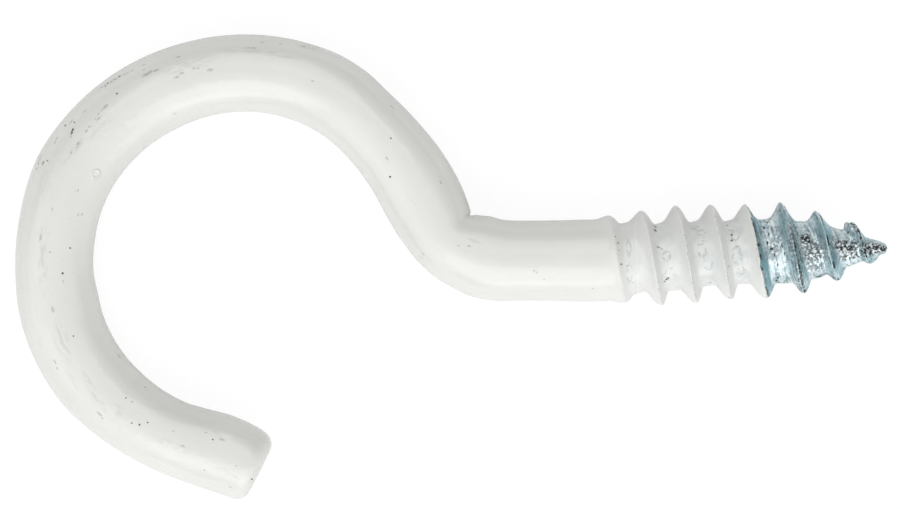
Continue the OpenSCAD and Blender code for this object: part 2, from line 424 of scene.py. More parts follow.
def roll_thread():
    """Rolls a grid of points into the threaded end. Its rows follow the helix, so that the
    crests stay crisp, and rows off either end fold into the first ring and the apex."""
    rows = ROWS_PER_PITCH * math.ceil(THREAD_L / PITCH + 2)
    deselect_all()
    bpy.ops.mesh.primitive_grid_add(x_subdivisions=AROUND, y_subdivisions=rows, size=1)
    thread = bpy.context.object
    thread.name = "thread"
    flat = points_of(thread)
    degrees = 360 * np.rint((flat[:, 0] + 0.5) * AROUND) / AROUND
    share = (flat[:, 1] + 0.5) * rows / ROWS_PER_PITCH
    # Rows lie closer together near the crests
    share -= CRESTS_CLOSER * np.sin(2 * math.pi * share) / (2 * math.pi)
    along = np.clip(LEAD_L + PITCH * (share - 2 + degrees / 360), 0, THREAD_L)
    radius, ridge = thread_point(along, degrees)
    tip = np.clip((along - THREAD_L) / TIP_ROUND + 1, 0, 1)
    radius = radius * np.sqrt(1 - tip ** 2)
    angle = np.radians(degrees - 90)                # from +Y towards +Z
    wobble = np.array([
        noise.noise(Vector((place * WOBBLE_ALONG, math.cos(turn) * WOBBLE_ROUND,
                            math.sin(turn) * WOBBLE_ROUND)))
        for place, turn in zip(along, angle)
    ])
    radius = radius * (1 + WOBBLE * wobble * ridge * smooth(along / WOBBLE_FROM))
    up = radius * np.cos(angle)
    front = radius * np.sin(angle)
    lean = smooth((along - LEAN_FROM) / LEAN_IN_L)
    drop = TIP_DROP * np.clip((along - TIP_DROP_FROM) / (THREAD_L - TIP_DROP_FROM), 0, 1)
    x = along + seat(along, STRETCH) - up * math.sin(LEAN) * lean
    y = along * math.tan(LEAN) * lean - drop + up * np.cos(LEAN * lean)
    move_points(thread, np.stack([x, y, front], axis=1) * MM)
    arc = np.radians(degrees) * CORE_R
    past = along - LEAD_L - PITCH * (degrees / 360 + COATED_TURNS)
    keep_value(thread, "along", along)
    keep_value(thread, "arc", arc)
    keep_value(thread, "past_coat", past)
    keep_value(thread, "ridge", ridge)
    keep_value(thread, "pitted", soft_marks(along, degrees, PITTED))
    keep_value(thread, "rubbed", np.zeros(len(along)))
    keep_nearest(thread, "chip", along, degrees, THREAD_CHIPS, CORE_R)
    keep_nearest(thread, "smudge", along, degrees, THREAD_SMUDGES, CORE_R)
    keep_nearest(thread, "pool", along, degrees, POOLS, CORE_R)
    return thread


# ---------------------------------------------------------------- marks on the coat

# Chips down to a dark film: mm from the thread along the wire, degrees round it (0 at the
# front, positive to the outer side), radius
CHIPS = (
    (16.2, -25, 0.06), (18.3, 11, 0.04), (37.3, 57, 0.06), (37.5, 57, 0.07), (37.6, 57, 0.06),
    (37.8, 57, 0.06), (38, 30, 0.05), (38.1, 60, 0.05), (38.3, 57, 0.04), (38.5, 62, 0.04),
    (41.1, 45, 0.04), (41.5, 38, 0.07), (41.6, 57, 0.05), (41.6, 37, 0.07), (41.7, 36, 0.08),
    (41.9, 35, 0.08), (43.9, 46, 0.04), (44.1, 52, 0.05), (44.2, 52, 0.05), (44.3, 63, 0.04),
    (44.6, 62, 0.05), (49.1, -27, 0.05), (49.5, 2, 0.03), (51, -16, 0.06), (55.6, -10, 0.04),
    (61.5, -18, 0.04), (61.7, -19, 0.04), (62.1, -54, 0.04), (62.9, 6, 0.04), (63.4, 2, 0.05),
    (63.8, -7, 0.04), (68.5, -19, 0.04), (68.6, 29, 0.03), (68.7, 31, 0.03), (68.9, 33, 0.03),
    (72, 16, 0.05),
)
# Faint grey smudges, in the same terms
SMUDGES = (
    (0, -43, 0.06), (3.4, -28, 0.04), (3.9, -17, 0.05), (4, -15, 0.07), (4.1, -16, 0.05),
    (7.6, 89, 0.07), (8.8, 9, 0.05), (9.5, 3, 0.04), (10.6, -56, 0.05), (10.7, -47, 0.05),
    (14, 35, 0.06), (17.4, -12, 0.07), (19.8, 50, 0.07), (24.8, 7, 0.05), (25.3, 72, 0.06),
    (25.5, 69, 0.06), (25.7, 69, 0.08), (25.9, 68, 0.07), (26.1, 62, 0.07), (27.4, 54, 0.05),
    (28.5, 53, 0.06), (29, 39, 0.07), (29.2, 39, 0.08), (31.8, 7, 0.09), (32.6, 13, 0.05),
    (32.8, 14, 0.07), (33.6, 40, 0.06), (33.7, 12, 0.07), (34.1, 9, 0.07), (35.2, -42, 0.05),
    (35.3, -40, 0.06), (35.2, 31, 0.09), (35.5, 33, 0.1), (35.8, 32, 0.12), (35.7, 52, 0.06),
    (35.8, 42, 0.05), (36.5, 53, 0.06), (36.7, 53, 0.08), (36.9, 53, 0.07), (39.1, 25, 0.1),
    (39.3, 24, 0.07), (39.7, 24, 0.05), (39.9, 18, 0.07), (40, 21, 0.06), (40.2, 45, 0.06),
    (40.7, 20, 0.05), (41, 19, 0.07), (41.2, 51, 0.08), (41.5, 53, 0.07), (42, 17, 0.07),
    (42.2, 16, 0.06), (42.5, 54, 0.07), (42.7, 18, 0.06), (42.7, 52, 0.07), (43.9, 68, 0.07),
    (44.1, 65, 0.09), (44.8, -17, 0.05), (44.9, -15, 0.07), (46.4, -36, 0.06), (46.5, -30, 0.06),
    (46.6, 9, 0.05), (48.6, 18, 0.09), (51.6, -16, 0.05), (53.4, 6, 0.09), (56.6, 32, 0.07),
    (56.8, 32, 0.05), (57, 34, 0.06), (58.7, -63, 0.1), (60.9, 27, 0.09), (61.1, 29, 0.07),
    (62, -19, 0.05), (65.7, -12, 0.05), (66.7, 3, 0.05), (67.9, -26, 0.05), (69.1, -23, 0.08),
    (70.6, 6, 0.04), (70.9, 43, 0.06),
)
# One blister under the coat, in the same terms
BLISTER = ((43.05, -30, 0.42, 0.42),)
# Broad rubbed patches: mm along, degrees, mm long, mm round, slant in degrees, strength
RUBS = (
    (35.4, 30, 1.0, 0.35, 15, 0.5), (33.2, 22, 3.4, 0.9, 4, 0.35), (28.8, 34, 4.2, 0.5, 3, 0.3),
    (25.7, 62, 1.6, 0.5, 0, 0.5), (37.9, 58, 2.2, 0.5, 8, 0.5), (42.3, 16, 2.4, 0.4, 8, 0.4),
    (40.3, 8, 2.0, 0.8, 0, 0.25), (44.2, 56, 0.9, 0.6, 0, 0.35), (50.2, 13, 3.6, 0.6, 0, 0.35),
    (48.2, 14, 0.8, 0.8, 10, 0.3), (55.6, 8, 2.4, 0.9, 12, 0.35), (59.6, 9, 3.2, 0.4, 12, 0.4),
    (61.6, 6, 0.8, 0.9, 0, 0.35), (58.0, 22, 1.5, 0.3, 10, 0.3), (66.0, 8, 4.0, 0.5, 0, 0.3),
    (70.3, 20, 2.0, 0.5, 0, 0.3), (9.0, 18, 1.8, 0.3, 0, 0.3), (2.3, 50, 0.4, 0.3, 0, 0.2),
)
# On the thread the degrees run from the back over the top (90), the front (180) and the
# underside (270). A long mark has its half length along the thread and its half width
THREAD_CHIPS = (
    (4.37, 118, 0.08), (4.35, 131, 0.08), (4.44, 163, 0.04), (4.55, 164, 0.05),
    (4.69, 166, 0.05), (4.84, 168, 0.04), (4.82, 225, 0.05), (4.94, 222, 0.06),
    (5.06, 219, 0.05), (7.96, 245, 0.05), (9.2, 252, 0.05), (9.56, 146, 0.06),
    (9.54, 157, 0.06), (9.34, 121, 0.05), (9.49, 121, 0.03), (9.63, 121, 0.03),
    (1.88, 186, 0.04), (1.7, 155, 0.04), (1.5, 147, 0.03), (1.73, 166, 0.03),
    (4.23, 270, 0.03),
    # Holes in the plating of the bare turns, the flap's edges and the tip
    (14.2, 156, 0.1), (14.5, 153, 0.05), (16.73, 160, 0.06, 0.12), (16.65, 177, 0.07),
    (16.93, 180, 0.1), (17.5, 179, 0.07, 0.14), (17.65, 194, 0.09), (18.05, 209, 0.06),
    (18.95, 176, 0.08), (19.47, 190, 0.08), (19.7, 228, 0.05), (20.2, 215, 0.05),
    (17.46, 118, 0.04, 0.22), (17.62, 104, 0.2, 0.05), (18.05, 110, 0.05, 0.16),
    # A black line down the last crest, and one along the foot of the turn before it
    (18.12, 131, 0.045, 0.22), (18.25, 150, 0.04, 0.26), (18.38, 170, 0.045, 0.28),
    (18.52, 189, 0.045, 0.22), (18.64, 206, 0.055, 0.15), (15.35, 250, 0.22, 0.12),
    (15.9, 247, 0.26, 0.1), (16.35, 243, 0.12, 0.08),
    # Cracks down the first bare groove, and nicks in the coat's edge
    (12.05, 116, 0.04, 0.14), (11.8, 132, 0.045, 0.16), (12.08, 148, 0.035, 0.15),
    (11.95, 165, 0.045, 0.13), (12.2, 176, 0.09, 0.09), (12.38, 188, 0.035, 0.12),
    (12.56, 206, 0.03, 0.16), (12.56, 235, 0.045, 0.14), (12.45, 246, 0.05, 0.14),
    (12.9, 172, 0.03, 0.16), (13.03, 186, 0.03, 0.13), (11.3, 171, 0.09, 0.08),
    (11.42, 186, 0.05, 0.12), (10.98, 135, 0.04, 0.12),
)
THREAD_SMUDGES = (
    (2.63, 222, 0.05), (7.21, 122, 0.08), (7.63, 149, 0.05), (7.62, 155, 0.05),
    (7.28, 162, 0.06), (7.46, 161, 0.06), (7.0, 128, 0.1), (9.5, 135, 0.08),
    (9.9, 168, 0.06), (9.2, 200, 0.05), (5.3, 200, 0.05), (2.3, 190, 0.05),
)
# Rims where the coat pooled in the grooves: mm along, degrees, half length, half width
POOLS = (
    (7.46, 174, 0.3, 0.5), (5.01, 179, 0.3, 0.4), (5.11, 212, 0.38, 0.37),
    (2.43, 204, 0.18, 0.7), (2.45, 162, 0.18, 0.65), (7.83, 198, 0.33, 0.5),
    (9.79, 148, 0.3, 0.45), (9.85, 186, 0.35, 0.75), (7.47, 138, 0.3, 0.3),
    (10.07, 216, 0.3, 0.45),
)
# Patches of the bare thread that are pitted black, in the terms of the rubbed patches
PITTED = (
    (12.3, 176, 1, 1.8, 0, 0.5), (13.6, 162, 0.7, 3.4, 4, 0.7), (13.9, 202, 0.8, 4, 4, 0.5),
    (11.3, 170, 0.4, 2.4, 4, 0.5), (14.5, 160, 0.9, 1.2, 0, 1.1), (15, 184, 1.7, 2.2, 0, 0.85),
    (15.1, 210, 1.4, 1.8, 0, 0.6), (17.3, 170, 2, 1.9, 0, 1.1), (17.6, 205, 1.8, 1.2, 0, 0.9),
    (18.1, 92, 0.9, 3, 0, 1.1), (19.5, 180, 2.6, 3, 0, 1.6), (19.6, 90, 1.6, 1.2, 0, 1.1),
    (19.6, 280, 1.8, 1.4, 0, 1), (12.2, 20, 2, 1.6, 0, 0.7), (14.4, 330, 2, 2, 0, 0.8),
    (16.8, 40, 2, 2, 0, 0.9), (11.8, 290, 1.6, 1.6, 0, 0.5), (16.9, 300, 1.4, 1.4, 0, 0.8),
)
PATCH_EDGE = 1.6            # how fast a patch fades at its edge


def soft_marks(along, degrees, marks):
    """Strength of soft-edged patches at each point, from 0 to 1."""
    strength = np.zeros(len(along))
    for place, turn, length, width, slant, depth in marks:
        run = along - place
        arc = np.radians((degrees - turn + 180) % 360 - 180) * WIRE_R
        c, s = math.cos(math.radians(slant)), math.sin(math.radians(slant))
        far = np.hypot((run * c + arc * s) / length, (arc * c - run * s) / width)
        strength = np.maximum(strength, depth * smooth(PATCH_EDGE * (0.5 - far) + 0.5))
    return strength


def mark_coat(wire, along, around):
    """Stores on the bent wire what the thread has too, for the one finish of both. The wire
    has no pools and the thread no blister, and what is missing reads as 0 and shows nothing."""
    nowhere = np.zeros(len(along))
    keep_value(wire, "along", -along)
    keep_value(wire, "arc", np.radians(around) * WIRE_R, 2 * math.pi * WIRE_R)
    keep_value(wire, "past_coat", nowhere - THREAD_L)
    keep_value(wire, "ridge", nowhere)
    keep_value(wire, "pitted", nowhere)
    keep_value(wire, "rubbed", soft_marks(along, around, RUBS))
    keep_nearest(wire, "chip", along, around, CHIPS, WIRE_R)
    keep_nearest(wire, "smudge", along, around, SMUDGES, WIRE_R)
    keep_nearest(wire, "blister", along, around, BLISTER, WIRE_R)


# ---------------------------------------------------------------- making the hook

SAME_POINT = 0.002          # points closer than this, in mm, are one

wire = bend_wire()
along, around = work_wire(wire)
mark_coat(wire, along, around)
thread = roll_thread()

work_on(wire)
thread.select_set(True)
bpy.ops.object.join()
hook = bpy.context.object
bpy.ops.object.mode_set(mode="EDIT")
bpy.ops.mesh.select_all(action="SELECT")
bpy.ops.mesh.remove_doubles(threshold=SAME_POINT * MM)
bpy.ops.mesh.normals_make_consistent(inside=False)
bpy.ops.object.mode_set(mode="OBJECT")
bpy.ops.object.shade_smooth()
hook.data.name = "screw_hook"


# ---------------------------------------------------------------- the finish

def linear(hex_colour):
    """An sRGB hex colour as linear red, green, blue and alpha."""
    channels = [int(hex_colour[i:i + 2], 16) / 255 for i in (0, 2, 4)]
    return [c / 12.92 if c <= 0.04045 else ((c + 0.055) / 1.055) ** 2.4
            for c in channels] + [1.0]


ATTRIBUTE, MATH, NOISE = "ShaderNodeAttribute", "ShaderNodeMath", "ShaderNodeTexNoise"
REMAP, MIX, VECTOR = "ShaderNodeMapRange", "ShaderNodeMix", "ShaderNodeVectorMath"


def add(tree, kind, links=(), out=0, **settings):
    """Adds one node and returns its output of that name or number. Settings by name go to
    the node, and links by input name or number take a socket to join or a value to set."""
    made = tree.nodes.new(kind)
    for name, value in settings.items():
        setattr(made, name, value)
    for name, value in dict(links).items():
        if isinstance(value, bpy.types.NodeSocket):
            tree.links.new(value, made.inputs[name])
        else:
            made.inputs[name].default_value = value
    return made.outputs[out] if made.outputs else None


def read_places(tree):
    """What the finish reads of the hook: where a spot lies and how far off each mark is."""
    at = SimpleNamespace(place=add(tree, "ShaderNodeTexCoord", out="Object"))
    for name in ("along", "arc", "past_coat", "ridge", "pitted", "rubbed"):
        setattr(at, name, add(tree, ATTRIBUTE, out="Fac", attribute_name=name))
    for name in ("chip", "smudge", "pool", "blister"):
        setattr(at, name, add(tree, ATTRIBUTE, out="Vector", attribute_name=name))
    # Millimetres along the hook, above 0 on the thread and below 0 on the bent wire, and
    # round it, for what follows the way the wire was drawn. Counted from the coat's edge
    # they follow the helix
    at.drawn = add(tree, "ShaderNodeCombineXYZ", {0: at.along, 1: at.arc})
    at.helix = add(tree, "ShaderNodeCombineXYZ", {0: at.past_coat, 1: at.arc})
    # Millimetres from the nearest crest, below 0 on its shank side
    at.off_crest = add(tree, MATH, {0: at.past_coat, 1: PITCH / 2, 2: -PITCH / 2},
                       operation="WRAP")
    at.on_thread = add(tree, REMAP, {0: at.along, 1: 0, 2: 3})
    # Grit of 0.12 mm that makes edges ragged, and stretches of 1.5 mm in which wear comes
    at.ragged = add(tree, NOISE, {"Vector": at.place, "Scale": 1 / (0.12 * MM), "Detail": 2})
    at.stretches = add(tree, NOISE, {"Vector": at.place, "Scale": 1 / (1.5 * MM), "Detail": 2})
    return at


def white_coat(tree, at):
    """Colour of the dipped coat: a warm off-white, marked where it is thin, rubbed or dirty."""
    # Slow clouding about 4 mm across, and a cooler white on the thread
    clouds = add(tree, NOISE, {"Vector": at.place, "Scale": 1 / (4 * MM), "Detail": 3})
    coat = add(tree, MIX, {0: clouds, 6: linear("D3D3CF"), 7: linear("DBDBD7")}, 2,
               data_type="RGBA")
    coat = add(tree, MIX, {0: at.on_thread, 6: coat, 7: linear("D9DAD7")}, 2, data_type="RGBA")
    # It is thin on the crests, where the steel shows through in fine grey specks
    from_crest = add(tree, MATH, {0: at.off_crest}, operation="ABSOLUTE")
    worn = add(tree, REMAP, {0: from_crest, 1: 0.12, 2: 0.04})
    showing = add(tree, REMAP, {0: at.ragged, 1: 0.5, 2: 0.6, 4: 0.65})
    worn = add(tree, MATH, {0: worn, 1: showing}, operation="MULTIPLY")
    worn_here = add(tree, REMAP, {0: at.stretches, 1: 0.42, 2: 0.58, 3: 0.25, 4: 1})
    worn = add(tree, MATH, {0: worn, 1: worn_here}, operation="MULTIPLY")
    worn = add(tree, MATH, {0: worn, 1: at.on_thread}, operation="MULTIPLY")
    coat = add(tree, MIX, {0: worn, 6: coat, 7: linear("8D9799")}, 2, data_type="RGBA")
    # Rubbed streaks run along the wire, each about 0.8 mm long and 0.25 mm wide
    streak_way = add(tree, VECTOR, {0: at.drawn, 1: (1 / 0.8, 1 / 0.25, 1)},
                     operation="MULTIPLY")
    streaks = add(tree, NOISE, {"Vector": streak_way, "Scale": 1, "Detail": 3})
    streaks = add(tree, REMAP, {0: streaks, 1: 0.44, 2: 0.6})
    rub = add(tree, MATH, {0: streaks, 1: at.rubbed}, operation="MULTIPLY")
    coat = add(tree, MIX, {0: rub, 6: coat, 7: linear("B2B1AC")}, 2, data_type="RGBA")
    # Fine dust marks about 0.15 mm across, all over but faint
    dust = add(tree, NOISE, {"Vector": at.place, "Scale": 1 / (0.15 * MM), "Detail": 2})
    dust = add(tree, REMAP, {0: dust, 1: 0.68, 2: 0.8, 4: 0.35})
    coat = add(tree, MIX, {0: dust, 6: coat, 7: linear("A3A29D")}, 2, data_type="RGBA")
    # In the last grooves that it reaches it is thin, and the plating shows bluish through it
    thin = add(tree, NOISE, {"Vector": at.place, "Scale": 1 / (0.6 * MM), "Detail": 3})
    thin = add(tree, REMAP, {0: thin, 1: 0.42, 2: 0.62, 4: 0.34})
    reach = add(tree, REMAP, {0: at.along, 1: 0.5, 2: 7.5})
    thin = add(tree, MATH, {0: thin, 1: reach}, operation="MULTIPLY")
    in_groove = add(tree, REMAP, {0: at.ridge, 1: 0.4, 2: 0.02})
    thin = add(tree, MATH, {0: thin, 1: in_groove}, operation="MULTIPLY")
    coat = add(tree, MIX, {0: thin, 6: coat, 7: linear("AFBDC1")}, 2, data_type="RGBA")
    # Where it pooled, each pool has a fine grey rim, uneven and broken
    broken = add(tree, NOISE, {"Vector": at.place, "Scale": 1 / (0.4 * MM), "Detail": 3})
    pool_at = add(tree, VECTOR, {0: at.pool}, "Value", operation="LENGTH")
    pool_at = add(tree, MATH, {0: broken, 1: 1.8, 2: pool_at}, operation="MULTIPLY_ADD")
    pool_rim = add(tree, MATH, {0: pool_at, 1: 1.85}, operation="SUBTRACT")
    pool_rim = add(tree, MATH, {0: pool_rim}, operation="ABSOLUTE")
    pool_rim = add(tree, REMAP, {0: pool_rim, 1: 0.36, 2: 0.06, 4: 0.45})
    broken = add(tree, REMAP, {0: broken, 1: 0.42, 2: 0.54})
    pool_rim = add(tree, MATH, {0: pool_rim, 1: broken}, operation="MULTIPLY")
    coat = add(tree, MIX, {0: pool_rim, 6: coat, 7: linear("8F9799")}, 2, data_type="RGBA")
    # Smudges are only grey and smeared along the wire
    smear = add(tree, VECTOR, {0: at.smudge, 1: (0.6, 1.3, 1)}, operation="MULTIPLY")
    smudge_at = add(tree, VECTOR, {0: smear}, "Value", operation="LENGTH")
    smudge_at = add(tree, MATH, {0: at.ragged, 1: 2.4, 2: smudge_at}, operation="MULTIPLY_ADD")
    smudged = add(tree, REMAP, {0: smudge_at, 1: 3.1, 2: 1.9, 4: 0.42})
    return add(tree, MIX, {0: smudged, 6: coat, 7: linear("777772")}, 2, data_type="RGBA")


def bright_zinc(tree, at):
    """Colour of the bare plating, with the patches, crackle, rolling lines and pits that give
    it relief too, painted shade on its flanks and beside its crests, and painted highlights and
    glints."""
    # It is pale in the roots of the grooves, in patches about 0.45 mm across
    patches = add(tree, NOISE, {"Vector": at.place, "Scale": 1 / (0.45 * MM), "Detail": 4})
    patches = add(tree, REMAP, {0: patches, 1: 0.38, 2: 0.62})
    root = add(tree, MIX, {0: patches, 6: linear("BBCFD4"), 7: linear("DDE8EA")}, 2,
               data_type="RGBA")
    # The plating is crackled there in places, in uneven cells about 0.27 mm across
    bend = add(tree, NOISE, {"Vector": at.place, "Scale": 1 / (0.3 * MM), "Detail": 2}, "Color")
    bend = add(tree, VECTOR, {0: bend, "Scale": 0.2 * MM}, operation="SCALE")
    bent = add(tree, VECTOR, {0: at.place, 1: bend}, operation="ADD")
    cells = add(tree, "ShaderNodeTexVoronoi", {"Vector": bent, "Scale": 1 / (0.27 * MM)},
                feature="DISTANCE_TO_EDGE")
    crackle = add(tree, REMAP, {0: cells, 1: 0.16, 2: 0.06})
    some = add(tree, NOISE, {"Vector": at.place, "Scale": 1 / (0.5 * MM), "Detail": 3})
    some = add(tree, REMAP, {0: some, 1: 0.48, 2: 0.6, 4: 0.55})
    crackle = add(tree, MATH, {0: crackle, 1: some}, operation="MULTIPLY")
    root = add(tree, MIX, {0: crackle, 6: root, 7: linear("46606A")}, 2, data_type="RGBA")
    # The flank towards the point is darkened all over to blue-grey as painted shade, and the other
    # one only by half
    shank_side = add(tree, MATH, {0: at.off_crest, 1: 0}, operation="LESS_THAN")
    painted_flank_shade = add(tree, REMAP, {0: at.ridge, 1: 0.04, 2: 0.2})
    half = add(tree, MATH, {0: shank_side, 1: -0.55, 2: 1}, operation="MULTIPLY_ADD")
    painted_flank_shade = add(tree, MATH, {0: painted_flank_shade, 1: half}, operation="MULTIPLY")
    # Painted shade: the flanks are darkened to blue-grey
    zinc = add(tree, MIX, {0: painted_flank_shade, 6: root, 7: linear("9DC0C8")}, 2, data_type="RGBA")
    # Fine rolling lines run along the helix, 0.16 mm apart and 2 mm long: dark ones, and bright
    # ones that are painted glints
    rolled_way = add(tree, VECTOR, {0: at.helix, 1: (1 / 0.16, 1 / 2, 1)}, operation="MULTIPLY")
    rolled = add(tree, NOISE, {"Vector": rolled_way, "Scale": 1, "Detail": 3})
    lines = add(tree, REMAP, {0: rolled, 1: 0.56, 2: 0.64, 4: 0.6})
    zinc = add(tree, MIX, {0: lines, 6: zinc, 7: linear("6B8993")}, 2, data_type="RGBA")
    # The bright lines are painted glints on the metal
    painted_glints = add(tree, REMAP, {0: rolled, 1: 0.46, 2: 0.38, 4: 0.5})
    zinc = add(tree, MIX, {0: painted_glints, 6: zinc, 7: linear("FAFCFC")}, 2, data_type="RGBA")
    # Beside the crests, towards the shank, the rolling has torn the plating in short dashes,
    # 0.14 mm apart and 0.5 mm long
    torn_way = add(tree, VECTOR, {0: at.helix, 1: (1 / 0.14, 1 / 0.5, 1)}, operation="MULTIPLY")
    torn = add(tree, NOISE, {"Vector": torn_way, "Scale": 1, "Detail": 3})
    torn = add(tree, REMAP, {0: torn, 1: 0.52, 2: 0.6, 4: 0.75})
    beside = add(tree, REMAP, {0: at.off_crest, 1: -0.42, 2: -0.27})
    beside = add(tree, MATH, {0: beside, 1: shank_side}, operation="MULTIPLY")
    torn = add(tree, MATH, {0: torn, 1: beside}, operation="MULTIPLY")
    torn_here = add(tree, REMAP, {0: at.stretches, 1: 0.48, 2: 0.58})
    torn = add(tree, MATH, {0: torn, 1: torn_here}, operation="MULTIPLY")
    zinc = add(tree, MIX, {0: torn, 6: zinc, 7: linear("2E3B40")}, 2, data_type="RGBA")
    # The rolled crests carry a bright painted highlight just before them, and dark painted shade
    # along the seam just past them, towards the point
    crest_highlight = add(tree, REMAP, {0: at.off_crest, 1: -0.1, 2: -0.06})
    seam = add(tree, REMAP, {0: at.off_crest, 1: 0.0, 2: 0.02})
    seam_shade_end = add(tree, REMAP, {0: at.off_crest, 1: 0.17, 2: 0.12})
    seam = add(tree, MATH, {0: seam, 1: seam_shade_end}, operation="MULTIPLY")
    crest_highlight_end = add(tree, REMAP, {0: at.off_crest, 1: 0.03, 2: 0.0})
    crest_highlight = add(tree, MATH, {0: crest_highlight, 1: crest_highlight_end}, operation="MULTIPLY")
    dots = add(tree, NOISE, {"Vector": at.place, "Scale": 1 / (0.6 * MM), "Detail": 4})
    dots = add(tree, REMAP, {0: dots, 1: 0.46, 2: 0.54})
    crest_highlight = add(tree, MATH, {0: crest_highlight, 1: dots}, operation="MULTIPLY")
    seam = add(tree, MATH, {0: seam, 1: dots}, operation="MULTIPLY")
    # A painted highlight before each crest, then painted shade in the seam past it
    zinc = add(tree, MIX, {0: crest_highlight, 6: zinc, 7: linear("D4E6EA")}, 2, data_type="RGBA")
    zinc = add(tree, MIX, {0: seam, 6: zinc, 7: linear("1A2226")}, 2, data_type="RGBA")
    # Pitted patches are black with bright grains left between the pits, 0.2 mm across
    grains = add(tree, NOISE, {"Vector": at.place, "Scale": 1 / (0.2 * MM), "Detail": 4,
                               "Roughness": 0.6})
    pits = add(tree, REMAP, {0: grains, 1: 0.53, 2: 0.47})
    pits = add(tree, MATH, {0: pits, 1: at.pitted}, operation="MULTIPLY")
    bright = add(tree, REMAP, {0: grains, 1: 0.54, 2: 0.6})
    bright = add(tree, MATH, {0: bright, 1: at.pitted}, operation="MULTIPLY")
    zinc = add(tree, MIX, {0: bright, 6: zinc, 7: linear("F2F6F7")}, 2, data_type="RGBA")
    zinc = add(tree, MIX, {0: pits, 6: zinc, 7: linear("14181A")}, 2, data_type="RGBA")
    return zinc, patches, crackle, lines, pits


def surface_relief(tree, at, bare, dull, patches, crackle, lines):
    """Height of the surface in mm. The wire under the coat is wavy, 2.5 mm along it and 1.2 mm
    round it, and the coat has a faint orange peel, both more so towards the free end, a dome
    over the blister and a step at its end."""
    wavy_way = add(tree, VECTOR, {0: at.drawn, 1: (1 / 2.5, 1 / 1.2, 1)}, operation="MULTIPLY")
    wavy = add(tree, NOISE, {"Vector": wavy_way, "Scale": 1, "Detail": 3})
    peel = add(tree, NOISE, {"Vector": at.place, "Scale": 1 / (0.7 * MM), "Detail": 2})
    coat_relief = add(tree, MATH, {0: peel, 1: 0.02}, operation="MULTIPLY")
    coat_relief = add(tree, MATH, {0: wavy, 1: 0.03, 2: coat_relief},
                      operation="MULTIPLY_ADD")
    more = add(tree, REMAP, {0: at.along, 1: -20, 2: -60, 3: 1, 4: 2})
    coat_relief = add(tree, MATH, {0: coat_relief, 1: more}, operation="MULTIPLY")
    blister_at = add(tree, VECTOR, {0: at.blister}, "Value", operation="LENGTH")
    blister_at = add(tree, MATH, {0: peel, 1: 1.2, 2: blister_at}, operation="MULTIPLY_ADD")
    dome = add(tree, REMAP, {0: blister_at, 1: 1.75, 2: 1.3, 4: 0.06},
               interpolation_type="SMOOTHSTEP")
    dish = add(tree, REMAP, {0: blister_at, 1: 1.4, 2: 0.8, 4: 0.05},
               interpolation_type="SMOOTHSTEP")
    dome = add(tree, MATH, {0: dome, 1: dish}, operation="SUBTRACT")
    coat_relief = add(tree, MATH, {0: coat_relief, 1: dome}, operation="ADD")
    zinc_relief = add(tree, MATH, {0: patches, 1: 0.008, 2: -0.05}, operation="MULTIPLY_ADD")
    zinc_cut = add(tree, MATH, {0: crackle, 1: lines}, operation="MAXIMUM")
    zinc_relief = add(tree, MATH, {0: zinc_cut, 1: -0.02, 2: zinc_relief},
                      operation="MULTIPLY_ADD")
    relief = add(tree, MIX, {0: bare, 2: coat_relief, 3: zinc_relief})
    return add(tree, MATH, {0: dull, 1: -0.05, 2: relief}, operation="MULTIPLY_ADD")


